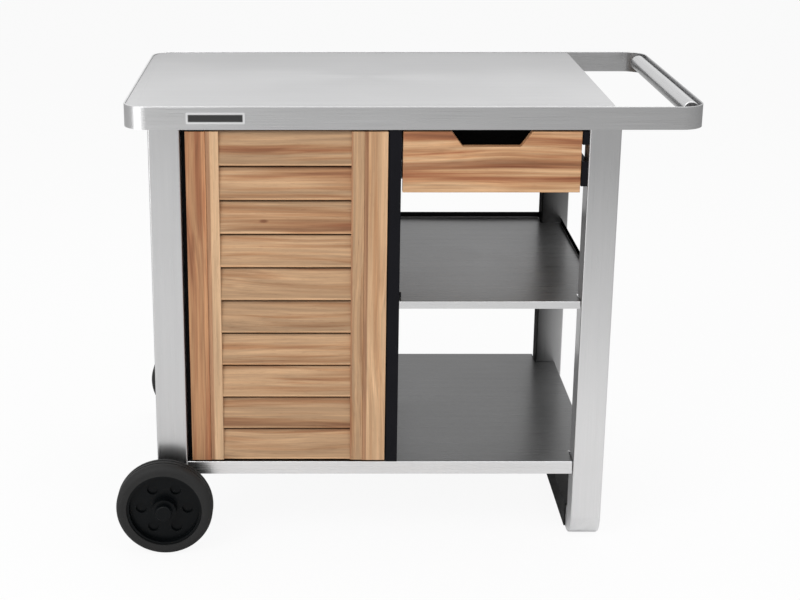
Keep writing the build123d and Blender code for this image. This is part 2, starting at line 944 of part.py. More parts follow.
left_stile = door_board(door_left, left_stile_end, front) - low_pin - high_pin
right_stile = door_board(right_stile_start, door_right, front)
back_rails = []
door_screws = []
for step in range(back_rail_count):
    low = door_bottom + back_rail_edge_inset + back_rail_span * step / (back_rail_count - 1)
    back_rail = block(
        back_rail_left, back_rail_right, door_back, rail_back, low, low + back_rail_height
    )
    screw_z = low + back_rail_height / 2
    for screw_x in (
        (back_rail_left + left_stile_end) / 2,
        (right_stile_start + back_rail_right) / 2,
    ):
        shank = rod_y(screw_x, door_back - screw_bite, rail_back, screw_z, screw_radius)
        head_back = rail_back + screw_head_height
        head = rod_y(screw_x, rail_back, head_back, screw_z, screw_head_radius)
        left_stile = left_stile - shank
        right_stile = right_stile - shank
        back_rail = back_rail - shank
        door_screws.append(shank + head)
    back_rails.append(back_rail)
write("door_back_rails", *back_rails)
write("door_screws", *door_screws)

# Door frame: two stiles and two thinner inner stiles
inner_front = front + inner_stile_recess
write("door_left_stile", left_stile)
write("door_right_stile", right_stile)
write("door_left_inner_stile", door_board(left_stile_end, left_inner_end, inner_front))
write(
    "door_right_inner_stile", door_board(right_inner_start, right_stile_start, inner_front)
)

# Door slats: each leans, with its lower edge proud of the slat below
slat_pitch = (door_top - door_bottom) / slat_count
slats = []
for step in range(slat_count):
    low = door_bottom + slat_pitch * step
    high = low + slat_pitch
    if step < slat_count - 1:
        high = high - slat_gap
    nose = inner_front + slat_nose_recess
    slat = prism_x(
        [
            (nose, low),
            (nose + slat_lean, high),
            (nose + slat_lean + slat_thickness, high),
            (nose + slat_thickness, low),
        ],
        left_inner_end,
        right_inner_start,
    )
    front_edges = slat.edges().filter_by(Axis.X).group_by(Axis.Z)[0].sort_by(Axis.Y)[:1]
    slats.append(fillet(front_edges, slat_corner))
write("door_slats", *slats)

# Magnet catch on the divider, and its strike plate on the door's back
catch_left = divider_x - catch_width
catch_high = door_top - strike_fit
catch_low = catch_high - catch_height
strike_back = door_back + strike_thickness
catch_front = strike_back + strike_fit
write(
    "door_strike_plate",
    block(
        catch_left,
        door_right - strike_edge_inset,
        door_back,
        strike_back,
        catch_low,
        catch_high,
    ),
)
write(
    "door_magnet_catch",
    block(catch_left, divider_x, catch_front, catch_front + catch_depth, catch_low, catch_high),
)

# Drawer front: a board with a tapered finger cut-out in its upper edge
drawer_left = bay_left + drawer_side_gap
drawer_right = bay_right - drawer_right_gap
drawer_top = band_bottom - drawer_top_gap
drawer_low = drawer_top - drawer_front_height
drawer_back_y = front + drawer_front_thickness
cut_x = (drawer_left + drawer_right) / 2 + cutout_centre_offset
cut_low = drawer_top - cutout_depth
cutout = prism_y(
    [
        (cut_x - cutout_top_width / 2, drawer_top),
        (cut_x - cutout_bottom_width / 2, cut_low),
        (cut_x + cutout_bottom_width / 2, cut_low),
        (cut_x + cutout_top_width / 2, drawer_top),
    ],
    front,
    drawer_back_y,
)
cutout = fillet(cutout.edges().filter_by(Axis.Y).group_by(Axis.Z)[0], cutout_corner)
drawer_front = block(
    drawer_left, drawer_right, front, drawer_back_y, drawer_low, drawer_top
)
drawer_front = drawer_front - cutout
write("drawer_front", fillet(drawer_front.edges().group_by(Axis.Y)[0], board_corner))

# Black finger pocket behind the cut-out, open at its top and to the cut-out
pocket_left = cut_x - cutout_top_width / 2 - pocket_margin
pocket_right = cut_x + cutout_top_width / 2 + pocket_margin
pocket_low = cut_low - pocket_below
pocket_top = drawer_top - pocket_top_gap
pocket_end = drawer_back_y + pocket_depth
pocket = block(
    pocket_left, pocket_right, drawer_back_y, pocket_end, pocket_low, pocket_top
) - block(
    pocket_left + pocket_wall,
    pocket_right - pocket_wall,
    drawer_back_y,
    pocket_end - pocket_wall,
    pocket_low + pocket_wall,
    pocket_top,
)
write("drawer_finger_pocket", pocket)

# Drawer box of boards, between its two slides
carrier_left = right_leg_x - carrier_thickness
box_left = bay_left + slide_width
box_right = carrier_left - slide_width
box_low = drawer_low + drawer_box_lift
box_high = box_low + drawer_box_height
box_end = pocket_end + drawer_box_length
inner_left = box_left + drawer_side_thickness
inner_right = box_right - drawer_side_thickness
inner_front_end = pocket_end + drawer_side_thickness
drawer_floor = box_low + drawer_bottom_lift
drawer_floor_top = drawer_floor + drawer_bottom_thickness
back_high = box_high - drawer_back_drop
back_start = box_end - drawer_side_thickness
left_side = block(box_left, inner_left, drawer_back_y, box_end, box_low, box_high)
right_side = block(inner_right, box_right, drawer_back_y, box_end, box_low, box_high)
inner_board = block(
    inner_left, inner_right, pocket_end, inner_front_end, drawer_floor_top, box_high
)
back_board = block(
    inner_left, inner_right, back_start, box_end, drawer_floor_top, back_high
)
dowels = []
for dowel_y in ((pocket_end + inner_front_end) / 2, (back_start + box_end) / 2):
    for height_share in dowel_height_shares:
        dowel_z = drawer_floor_top + (back_high - drawer_floor_top) * height_share
        for x0, x1 in (
            (box_left, box_left + dowel_bite),
            (box_right - dowel_bite, box_right),
        ):
            dowel = rod_x(x0, x1, dowel_y, dowel_z, dowel_radius)
            left_side = left_side - dowel
            right_side = right_side - dowel
            inner_board = inner_board - dowel
            back_board = back_board - dowel
            dowels.append(dowel)
write("drawer_left_side", left_side)
write("drawer_right_side", right_side)
write("drawer_inner_front", inner_board)
write("drawer_back", back_board)
write("drawer_dowels", *dowels)
write(
    "drawer_bottom",
    block(inner_left, inner_right, pocket_end, box_end, drawer_floor, drawer_floor_top),
)

# Slides: a fixed rail and a moving runner on each side, one channel inside the other
slide_low = box_low + slide_lift
slide_high = slide_low + slide_height
slide_start = drawer_back_y + slide_front_gap
fixed_end = box_end + slide_extra


def channel(x_web, x_open, y0, y1, z0, z1):
    """A C channel along Y, with its web at x_web and its flanges reaching to x_open."""
    toward = math.copysign(slide_sheet, x_open - x_web)
    outside = block(min(x_web, x_open), max(x_web, x_open), y0, y1, z0, z1)
    inside_start = x_web + toward
    hollow = block(
        min(inside_start, x_open),
        max(inside_start, x_open),
        y0,
        y1,
        z0 + slide_sheet,
        z1 - slide_sheet,
    )
    return outside - hollow


runner_low = slide_low + slide_sheet + slide_fit
runner_high = slide_high - slide_sheet - slide_fit
fixed_reach = slide_width - slide_flange_gap
runner_reach = slide_width - slide_sheet - slide_fit
write(
    "drawer_rail_left",
    channel(bay_left, bay_left + fixed_reach, slide_start, fixed_end, slide_low, slide_high),
)
write(
    "drawer_rail_right",
    channel(carrier_left, carrier_left - fixed_reach, slide_start, fixed_end, slide_low, slide_high),
)
write(
    "drawer_runner_left",
    channel(box_left, box_left - runner_reach, slide_start, box_end, runner_low, runner_high),
)
write(
    "drawer_runner_right",
    channel(box_right, box_right + runner_reach, slide_start, box_end, runner_low, runner_high),
)

# Black carrier bars between the right legs, which hold the right-hand slide
upper_high = drawer_top
lower_high = drawer_top - lower_carrier_drop
carrier_front = front + carrier_reveal
write(
    "drawer_carrier_bars",
    block(
        carrier_left,
        right_leg_x,
        carrier_front,
        -carrier_front,
        upper_high - upper_carrier_height,
        upper_high,
    ),
    block(
        carrier_left,
        right_leg_x,
        carrier_front,
        -carrier_front,
        lower_high - lower_carrier_height,
        lower_high,
    ),
)
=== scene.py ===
import math

import bmesh
import bpy
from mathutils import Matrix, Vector


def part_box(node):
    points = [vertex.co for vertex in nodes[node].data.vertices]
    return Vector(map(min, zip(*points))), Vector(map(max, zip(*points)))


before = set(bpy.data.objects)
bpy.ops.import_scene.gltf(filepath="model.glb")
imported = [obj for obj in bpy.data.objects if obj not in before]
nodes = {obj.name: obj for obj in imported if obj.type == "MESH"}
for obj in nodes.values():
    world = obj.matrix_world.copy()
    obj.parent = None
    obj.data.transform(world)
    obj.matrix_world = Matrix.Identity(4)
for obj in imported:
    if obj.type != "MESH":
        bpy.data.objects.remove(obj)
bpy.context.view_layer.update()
scene = bpy.context.scene
scene.view_settings.view_transform = "Standard"

# Places read from the frame, in metres: two heights, and lowest and highest corners
BAND_LOW, BAND_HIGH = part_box("top_band")
SHELF_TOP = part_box("bottom_shelf")[1][2]
MIDDLE_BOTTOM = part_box("middle_shelf")[0][2]
LOOP_LOW, LOOP_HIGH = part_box("right_leg_loop")
DOOR_LOW, DOOR_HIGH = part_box("door_slats")
DRAWER_LOW, DRAWER_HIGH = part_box("drawer_front")
BADGE_LOW, BADGE_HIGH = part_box("badge_plate")

# Sizes that the frame doesn't give: the middle shelf's front lip, the width of the badge
# plate's rim, and how many slats the door has
MIDDLE_LIP = 0.015
BADGE_RIM = 0.004
SLAT_COUNT = 10

# Camera: its place relative to the front left end of the band, and the photograph's frame
IMAGE_WIDTH = 800
IMAGE_HEIGHT = 600
SENSOR_MM = 36.0
FOCAL_PX = 1513.4
CENTRE_PX = (318.0, 215.0)
CAMERA_FROM_BAND = (0.36917, -2.77727, 1.48642)
CAMERA_PITCH = math.radians(16.008)
CAMERA_REACH = 60.0

# Floor: half its size, its colour, and the share of its look that is plain white to the
# camera
FLOOR_HALF_SIZE = 20.0
FLOOR_LEVEL = 0.86
FLOOR_WHITE = 0.92

# Strength of the world's light on what isn't seen as background
WORLD_LIGHT = 0.45

# Area lights: name, place, target, width and height, and power
LIGHTS = [
    ("key_light", (-2.0, -2.9, 3.5), (0.0, 0.0, 0.45), (2.0, 2.0), 68.0),
    ("fill_light", (1.8, -2.0, 3.6), (0.0, 0.0, 0.45), (2.2, 2.2), 32.0),
    ("top_light", (0.0, 0.6, 3.2), (0.0, 0.0, 0.5), (2.4, 1.6), 34.0),
    ("side_strip", (-2.3, -2.0, 0.6), (-0.5, -0.3, 0.6), (1.8, 2.0), 21.0),
]


def make_camera():
    data = bpy.data.cameras.new("camera")
    camera = bpy.data.objects.new("camera", data)
    scene.collection.objects.link(camera)
    camera.location = (
        BAND_LOW[0] + CAMERA_FROM_BAND[0],
        BAND_LOW[1] + CAMERA_FROM_BAND[1],
        CAMERA_FROM_BAND[2],
    )
    camera.rotation_euler = (math.pi / 2 - CAMERA_PITCH, 0.0, 0.0)
    data.sensor_width = SENSOR_MM
    data.lens = SENSOR_MM * FOCAL_PX / IMAGE_WIDTH
    data.shift_x = (IMAGE_WIDTH / 2 - CENTRE_PX[0]) / IMAGE_WIDTH
    data.shift_y = (CENTRE_PX[1] - IMAGE_HEIGHT / 2) / IMAGE_WIDTH
    data.clip_end = CAMERA_REACH
    scene.camera = camera


class Shader:
    """A material's node tree, built one node at a time."""

    def __init__(self, name):
        self.material = bpy.data.materials.new(name)
        self.material.use_nodes = True
        self.tree = self.material.node_tree
        self.tree.nodes.clear()
        self.output = self.tree.nodes.new("ShaderNodeOutputMaterial")

    def put(self, socket, value):
        if isinstance(value, bpy.types.NodeSocket):
            self.tree.links.new(value, socket)
        elif value is not None:
            socket.default_value = value

    def node(self, kind, inputs=(), **settings):
        made = self.tree.nodes.new("ShaderNode" + kind)
        for key, value in settings.items():
            setattr(made, key, value)
        for key, value in dict(inputs).items():
            self.put(made.inputs[key], value)
        return made

    def maths(self, operation, a, b=None, c=None):
        made = self.node("Math", operation=operation)
        for index, value in enumerate((a, b, c)):
            self.put(made.inputs[index], value)
        return made.outputs[0]

    def vector(self, operation, a, b):
        made = self.node("VectorMath", operation=operation)
        self.put(made.inputs[0], a)
        self.put(made.inputs[1], b)
        return made.outputs[0]

    def coordinates(self):
        return self.node("TexCoord").outputs["Object"]

    def normal_axis(self, name):
        return self.axis(self.node("NewGeometry").outputs["Normal"], name)

    def axis(self, vector, name):
        return self.node("SeparateXYZ", {"Vector": vector}).outputs[name]

    def all_axes(self, value):
        return self.node("CombineXYZ", {"X": value, "Y": value, "Z": value}).outputs[0]

    def scaled(self, vector, scale):
        return self.node("Mapping", {"Vector": vector, "Scale": scale}).outputs[0]

    def noise(self, vector, scale=1.0, detail=3.0, roughness=0.5):
        made = self.node(
            "TexNoise",
            {"Vector": vector, "Scale": scale, "Detail": detail, "Roughness": roughness},
        )
        return made.outputs[0]

    def lined_noise(self, vector, along, scales, detail=2.0, roughness=0.5):
        """Noise drawn out along one axis; scales are those along and across it."""
        scale = [scales[1]] * 3
        scale["XYZ".index(along)] = scales[0]
        return self.noise(self.scaled(vector, scale), detail=detail, roughness=roughness)

    def spread(self, value, low, high, to_low, to_high, smooth=False):
        made = self.node(
            "MapRange",
            interpolation_type="SMOOTHSTEP" if smooth else "LINEAR",
        )
        for index, number in enumerate((value, low, high, to_low, to_high)):
            self.put(made.inputs[index], number)
        return made.outputs[0]

    def spread_noise(self, value, to_low, to_high, reach=0.2):
        """Spreads a noise's values, most of which lie within reach of its middle."""
        return self.spread(value, 0.5 - reach, 0.5 + reach, to_low, to_high)

    def within(self, value, low, high, soft, smooth=False):
        """1 between two places and 0 outside them, fading over a width inside each."""
        near = self.spread(value, low, low + soft, 0.0, 1.0, smooth)
        far = self.spread(value, high - soft, high, 1.0, 0.0, smooth)
        return self.maths("MULTIPLY", near, far)

    def mix(self, share, a, b, blend="MIX"):
        made = self.node("Mix", data_type="RGBA", blend_type=blend)
        self.put(made.inputs[0], share)
        self.put(made.inputs[6], a)
        self.put(made.inputs[7], b)
        return made.outputs[2]

    def times(self, colour, factor):
        return self.mix(1.0, colour, factor, "MULTIPLY")

    def bump(self, height, relief):
        strength, distance = relief
        made = self.node(
            "Bump", {"Height": height, "Strength": strength, "Distance": distance}
        )
        return made.outputs["Normal"]

    def ramp(self, value, stops):
        made = self.node("ValToRGB", {"Fac": value})
        elements = made.color_ramp.elements
        while len(elements) < len(stops):
            elements.new(0.5)
        for element, (place, colour) in zip(elements, stops):
            element.position = place
            element.color = colour
        return made.outputs["Color"]

    def principled(self, **inputs):
        keyed = {key.replace("_", " "): value for key, value in inputs.items()}
        made = self.node("BsdfPrincipled", keyed)
        self.put(self.output.inputs["Surface"], made.outputs[0])
        return self.material


def grey(level):
    return (level, level, level, 1.0)


def tinted(level, tint):
    return (level * tint[0], level * tint[1], level * tint[2], 1.0)


WHITE = (1.0, 1.0, 1.0)

# Brushed steel: its tint; the scales of the fine lines, along and across them, of the
# broad bands among them and of the cloudiness; and how far each changes the tone
STEEL_TINT = (1.0, 1.0, 1.005)
LINE_SCALES = (6.0, 1400.0)
BROAD_SCALES = (1.2, 90.0)
STEEL_CLOUD_SCALE = 5.0
LINE_TONE = 0.03
BROAD_TONE = 0.012
CLOUD_TONE = 0.015
STEEL_ROUGHNESS_SPREAD = 0.05
STEEL_ANISOTROPY = 0.4
STEEL_RELIEF = (0.05, 0.0001)


def brushed(name, level, along, roughness, shade=None):
    """Brushed stainless steel, with its fine lines along one axis, and a slow cloudiness."""
    make = Shader(name)
    place = make.coordinates()
    lines = make.lined_noise(place, along, LINE_SCALES)
    broad = make.lined_noise(place, along, BROAD_SCALES)
    cloud = make.noise(place, scale=STEEL_CLOUD_SCALE, detail=2.0)
    tone = make.maths("MULTIPLY_ADD", make.spread_noise(lines, -1.0, 1.0), LINE_TONE, 1.0)
    broad_tone = make.spread_noise(broad, -1.0, 1.0, reach=0.15)
    tone = make.maths("MULTIPLY_ADD", broad_tone, BROAD_TONE, tone)
    tone = make.maths("MULTIPLY_ADD", make.spread_noise(cloud, -1.0, 1.0), CLOUD_TONE, tone)
    colour = make.times(tinted(level, STEEL_TINT), tone)
    if shade is not None:
        colour = shade(make, place, colour)
    smoothest = roughness - STEEL_ROUGHNESS_SPREAD
    roughest = roughness + STEEL_ROUGHNESS_SPREAD
    # The specular tint follows the colour over its level, so where shade is painted into the
    # colour the grazing reflection is darkened too
    return make.principled(
        Base_Color=colour,
        Specular_Tint=make.times(colour, grey(1.0 / level)),
        Metallic=1.0,
        Roughness=make.spread_noise(lines, smoothest, roughest),
        Anisotropic=STEEL_ANISOTROPY,
        Normal=make.bump(lines, STEEL_RELIEF),
    )


# Wood tones, light to dark
WOOD_PALE = (0.72, 0.47, 0.275, 1.0)
WOOD_LIGHT = (0.62, 0.385, 0.215, 1.0)
WOOD_MID = (0.5, 0.265, 0.13, 1.0)
WOOD_RED = (0.33, 0.13, 0.057, 1.0)
WOOD_DARK = (0.17, 0.062, 0.027, 1.0)
WOOD_TONES = [
    (0.3, WOOD_RED),
    (0.4, WOOD_MID),
    (0.47, WOOD_LIGHT),
    (0.56, WOOD_LIGHT),
    (0.66, WOOD_MID),
    (0.74, WOOD_RED),
]
WOOD_TONES_PALE = [(0.3, WOOD_MID), (0.42, WOOD_LIGHT), (0.55, WOOD_PALE), (0.72, WOOD_LIGHT)]
WOOD_TONES_RED = [(0.3, WOOD_DARK), (0.42, WOOD_RED), (0.54, WOOD_MID), (0.66, WOOD_RED)]
WOOD_TONES_DRAWER = [
    (0.28, WOOD_DARK),
    (0.4, WOOD_RED),
    (0.48, WOOD_MID),
    (0.56, WOOD_LIGHT),
    (0.64, WOOD_MID),
    (0.74, WOOD_RED),
]

# Tone across a board, from its lower edge, which catches the light, to the shade over it
BOARD_TONES = [
    (0.0, grey(1.0)),
    (0.055, grey(1.0)),
    (0.09, grey(0.66)),
    (0.3, grey(0.75)),
    (0.42, grey(0.83)),
    (0.86, grey(0.83)),
    (0.94, grey(0.56)),
    (0.98, grey(0.4)),
]

# How much the boards of one node differ: the shift of the grain and the range of the tone
BOARD_SHIFT = 9.7
BOARD_LEVELS = (0.9, 1.06)

# Scales of the wood's patterns, along the grain and across it
BEND_SCALES = (2.2, 7.0)
RING_SCALES = (0.9, 34.0)
STREAK_SCALES = (2.4, 150.0)
FINE_SCALES = (6.0, 420.0)
PORE_SCALES = (45.0, 1500.0)

# How far the grain bends, the tones of the streaks and the fine grain, the noise values
# that pores lie between and how dark they are, and how dark a knot is
BEND_REACH = 0.02
STREAK_TONES = (0.82, 1.12)
FINE_TONES = (0.86, 1.1)
PORE_RANGE = (0.64, 0.74)
PORE_SHARE = 0.35
KNOT_RANGE = (0.25, 1.0)
KNOT_SHARE = 0.85

# The wood's surface
WOOD_ROUGHNESS = (0.5, 0.62)
WOOD_GLOSS = 0.35
WOOD_RELIEF = (0.25, 0.0004)

# Widths over which the painted highlight and shade beside a seam, and the tone of a streak,
# fade in
SEAM_SOFT = 0.002
STREAK_SOFT = 0.006
STREAK_TINT = (1.0, 0.82, 0.75)


def wood(name, along, seed, tones=WOOD_TONES, level=1.0, boards=None, knot=None, bands=()):
    """Oiled hardwood: broad streaks, fine grain and short pores along one axis.

    boards gives an axis, where its first board starts and the pitch of its boards, where
    one node holds several boards; each board then gets painted light along its lower edge
    and painted shade under the board above it, and a random tone of its own. Each of the
    bands is a strip between two places along an axis, with the width over which it fades in
    and a tone of its own. A streak bends with the grain, and a seam's band is straight: a
    painted highlight where lighter and painted shade where darker. knot gives a dark spot's
    centre, width and height.
    """
    make = Shader(name)
    place = make.coordinates()
    shift = seed
    edge = None
    if boards is not None:
        axis, start, pitch = boards
        step = make.maths("SUBTRACT", make.axis(place, axis), start)
        step = make.maths("DIVIDE", step, pitch)
        board = make.maths("FLOOR", step)
        chance = make.node("TexWhiteNoise", {"W": board}, noise_dimensions="1D")
        shift = make.maths("MULTIPLY_ADD", chance.outputs["Value"], BOARD_SHIFT, seed)
        # Painted light along each board's lower edge and painted shade under the board above
        # it, times each board's random tone
        across = make.ramp(make.maths("FRACT", step), BOARD_TONES)
        edge = make.times(across, make.spread(chance.outputs["Value"], 0.0, 1.0, *BOARD_LEVELS))
    moved = make.vector("ADD", place, make.all_axes(shift))
    bend = make.lined_noise(moved, along, BEND_SCALES, detail=1.0)
    swing = make.all_axes(make.spread(bend, 0.0, 1.0, -BEND_REACH, BEND_REACH))
    waved = make.vector("ADD", moved, swing)
    rings = make.lined_noise(waved, along, RING_SCALES, detail=4.0, roughness=0.62)
    colour = make.times(make.ramp(rings, tones), grey(level))
    streaks = make.lined_noise(waved, along, STREAK_SCALES)
    colour = make.times(colour, make.spread_noise(streaks, *STREAK_TONES, reach=0.18))
    fine = make.lined_noise(waved, along, FINE_SCALES, detail=3.0, roughness=0.6)
    colour = make.times(colour, make.spread_noise(fine, *FINE_TONES))
    pores = make.lined_noise(moved, along, PORE_SCALES, detail=1.0)
    pore = make.spread(pores, *PORE_RANGE, 0.0, PORE_SHARE)
    colour = make.mix(pore, colour, WOOD_DARK)
    if edge is not None:
        colour = make.times(colour, edge)
    # A seam's band is a painted highlight when its tone is over 1, left untinted, and painted
    # shade when under 1; a streak's tone takes the streak tint
    for axis, low, high, soft, tone in bands:
        if soft == SEAM_SOFT:
            across = make.axis(place, axis)
        else:
            across = make.maths("SUBTRACT", make.axis(waved, axis), shift)
        share = make.within(across, low, high, soft, smooth=True)
        tint = WHITE if tone > 1.0 else STREAK_TINT
        colour = make.mix(share, colour, make.times(colour, tinted(tone, tint)))
    if knot is not None:
        centre, width, height = knot
        away = make.vector("SUBTRACT", place, centre)
        reach = make.node("VectorMath", operation="LENGTH")
        make.put(reach.inputs[0], make.scaled(away, (1.0 / width, 0.0, 1.0 / height)))
        distance = reach.outputs["Value"]
        share = make.spread(distance, *KNOT_RANGE, KNOT_SHARE, 0.0, smooth=True)
        colour = make.mix(share, colour, WOOD_DARK)
    height = make.maths("SUBTRACT", fine, make.maths("MULTIPLY", pore, 2.0))
    return make.principled(
        Base_Color=colour,
        Roughness=make.spread_noise(fine, *WOOD_ROUGHNESS),
        Specular_IOR_Level=WOOD_GLOSS,
        Normal=make.bump(height, WOOD_RELIEF),
    )


# Moulded plastic and rubber: the scale and tones of their cloudiness, how much their
# roughness varies, and the depth of their grain
MOULDED_CLOUD_SCALE = 14.0
MOULDED_TONES = (0.9, 1.1)
MOULDED_ROUGHNESS_SPREAD = 0.06
MOULDED_DEPTH = 0.0002


def moulded(name, level, roughness, grain=900.0, tint=WHITE, relief=0.08, gloss=0.15):
    """Moulded plastic, rubber or faced board, with a fine grain."""
    make = Shader(name)
    place = make.coordinates()
    fine = make.noise(place, scale=grain, detail=2.0)
    cloud = make.noise(place, scale=MOULDED_CLOUD_SCALE)
    smoothest = roughness - MOULDED_ROUGHNESS_SPREAD
    roughest = roughness + MOULDED_ROUGHNESS_SPREAD
    return make.principled(
        Base_Color=make.times(tinted(level, tint), make.spread_noise(cloud, *MOULDED_TONES)),
        Specular_IOR_Level=gloss,
        Roughness=make.spread_noise(fine, smoothest, roughest),
        Normal=make.bump(fine, (relief, MOULDED_DEPTH)),
    )


# Zinc plating: its tint, and the scale, tones and roughness of its spangle
ZINC_TINT = (0.98, 1.0, 1.02)
SPANGLE_SCALE = 60.0
SPANGLE_TONES = (0.9, 1.08)
SPANGLE_ROUGHNESS = (0.34, 0.46)


def zinc(name, level=0.57):
    """Zinc plated steel, with a faint spangle, bright or blackened."""
    make = Shader(name)
    place = make.coordinates()
    spangle = make.node("TexVoronoi", {"Vector": place, "Scale": SPANGLE_SCALE})
    tone = make.spread(make.axis(spangle.outputs["Color"], "X"), 0.0, 1.0, *SPANGLE_TONES)
    return make.principled(
        Base_Color=make.times(tinted(level, ZINC_TINT), tone),
        Metallic=1.0,
        Roughness=make.spread(tone, *SPANGLE_TONES, *SPANGLE_ROUGHNESS),
    )


def dress(material, *names):
    """Gives CAD nodes a material in place of the one they came with."""
    for name in names:
        slots = nodes[name].data.materials
        slots.clear()
        slots.append(material)


def fade(axis, low, high, at_low, at_high):
    """Shade that changes the tone evenly between two places along one axis."""

    def shade(make, place, colour):
        tone = make.spread(make.axis(place, axis), low, high, at_low, at_high)
        return make.times(colour, tone)

    return shade


# A shelf's shade: the upward part of a normal that belongs to the surface, the heights
# over the surface between which its upstands turn black, and how black they are
SURFACE_UP = (0.5, 0.95)
UPSTAND_RISE = (0.0002, 0.001)
UPSTAND_LEVEL = 0.015


def shelf_tone(top, dark):
    """Shade for a shelf: its lips bright, its surface darker and what stands above it black."""

    def shade(make, place, colour):
        height = make.axis(place, "Z")
        surface = make.spread(make.normal_axis("Z"), *SURFACE_UP, 0.0, 1.0)
        above = make.spread(
            height, top + UPSTAND_RISE[0], top + UPSTAND_RISE[1], 0.0, 1.0
        )
        colour = make.mix(surface, colour, make.times(colour, grey(dark)))
        return make.mix(above, colour, grey(UPSTAND_LEVEL))

    return shade


# The bent leg's shade: its tones from the floor to a height; the part of a normal that
# faces inward; where along Y the rear upright starts; and the tones of that upright's
# inner faces across it and down it
LOOP_HEIGHTS = (0.0, 0.8)
LOOP_TONES = (1.58, 0.87)
FACING = 0.5
REAR_START = (0.1, 0.2)
REAR_ACROSS_TONES = (0.05, 0.3)
REAR_HEIGHTS = (0.25, 0.65)
REAR_DOWN_TONES = (2.2, 0.8)


def loop_tone(make, place, colour):
    """Shade for the bent leg: brighter low down, the rear upright's inner faces dark."""
    height = make.axis(place, "Z")
    colour = make.times(colour, make.spread(height, *LOOP_HEIGHTS, *LOOP_TONES))
    inward = make.maths("LESS_THAN", make.normal_axis("Y"), FACING)
    not_right = make.maths("LESS_THAN", make.normal_axis("X"), FACING)
    rear = make.spread(make.axis(place, "Y"), *REAR_START, 0.0, 1.0)
    across = make.spread(
        make.axis(place, "X"), LOOP_LOW[0], LOOP_HIGH[0], *REAR_ACROSS_TONES
    )
    down = make.spread(height, *REAR_HEIGHTS, *REAR_DOWN_TONES)
    share = make.maths("MULTIPLY", make.maths("MULTIPLY", inward, not_right), rear)
    return make.mix(share, colour, make.times(colour, make.maths("MULTIPLY", across, down)))


# Half the width over which the badge plate's field fades into its rim, and its tone
BADGE_SOFT = 0.001
BADGE_LEVEL = 0.06


def badge_tone(make, place, colour):
    """Shade for the bare plate: a dark sunk field inside a bright rim."""
    sides = [
        make.within(
            make.axis(place, axis),
            BADGE_LOW[index] + BADGE_RIM - BADGE_SOFT,
            BADGE_HIGH[index] - BADGE_RIM + BADGE_SOFT,
            2 * BADGE_SOFT,
        )
        for axis, index in (("X", 0), ("Z", 2))
    ]
    return make.mix(make.maths("MULTIPLY", *sides), colour, grey(BADGE_LEVEL))


def dress_steel():
    top_shade = fade("Y", BAND_LOW[1], BAND_HIGH[1], 1.0, 0.86)
    band_shade = fade("X", BAND_LOW[0], BAND_HIGH[0], 1.0, 0.78)
    low_shade = shelf_tone(SHELF_TOP, 0.35)
    middle_shade = shelf_tone(MIDDLE_BOTTOM + MIDDLE_LIP, 0.48)
    # All these parts are one stainless steel, but each has its own level, set to how lit or
    # shaded that part looks: lit and shaded copies of one material, which paint light and shade
    # into the steel
    dress(brushed("steel_worktop", 0.525, "X", 0.34, top_shade), "worktop")
    dress(brushed("steel_band", 0.62, "X", 0.3, band_shade), "top_band")
    dress(brushed("steel_left_legs", 0.57, "Z", 0.32), "front_left_leg", "rear_left_leg")
    dress(brushed("steel_right_loop", 0.54, "Z", 0.32, loop_tone), "right_leg_loop")
    dress(brushed("steel_handle", 0.53, "Y", 0.25), "handle_bar", "handle_end_plugs")
    dress(brushed("steel_bottom_shelf", 0.78, "X", 0.3, low_shade), "bottom_shelf")
    dress(brushed("steel_middle_shelf", 0.66, "X", 0.3, middle_shade), "middle_shelf")
    dress(brushed("steel_badge", 0.75, "X", 0.4, badge_tone), "badge_plate")


# The knot in one slat: its place from the door's left end and, in slats, from its top,
# and its width and height
KNOT_FROM_LEFT = 0.084
KNOT_SLATS_DOWN = 2.62
KNOT_WIDTH = 0.012
KNOT_HEIGHT = 0.005

# Dark streaks on the drawer's front: their upper and lower edges, as shares of its height
# from its top, and their tones
DRAWER_STREAKS = [(0.44, 0.62, 0.6), (0.71, 0.8, 0.8)]


def painted_seam_band(low, high, tone):
    """A straight band between two places along X beside a stile's seam: a painted highlight
    when its tone is over 1, painted shade when it is under 1.
    """
    return [("X", low, high, SEAM_SOFT, tone)]


# Each stile has a painted band by its seam: a painted highlight along the left stile's inner
# edge, and painted shade on the other three
def dress_stiles():
    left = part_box("door_left_stile")[1][0]
    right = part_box("door_right_stile")[0][0]
    dress(
        wood(
            "wood_left_stile",
            "Z",
            11.7,
            tones=WOOD_TONES_RED,
            level=0.93,
            bands=painted_seam_band(left - 0.008, left + SEAM_SOFT, 1.35),
        ),
        "door_left_stile",
    )
    dress(
        wood(
            "wood_left_inner",
            "Z",
            5.2,
            tones=WOOD_TONES_PALE,
            level=0.92,
            bands=painted_seam_band(left - SEAM_SOFT, left + 0.009, 0.66),
        ),
        "door_left_inner_stile",
    )
    dress(
        wood(
            "wood_right_inner",
            "Z",
            8.4,
            level=0.79,
            bands=painted_seam_band(right - 0.03, right - 0.021, 0.8),
        ),
        "door_right_inner_stile",
    )
    dress(
        wood(
            "wood_right_stile",
            "Z",
            1.9,
            tones=WOOD_TONES_PALE,
            level=0.96,
            bands=painted_seam_band(right - SEAM_SOFT, right + 0.008, 0.58),
        ),
        "door_right_stile",
    )


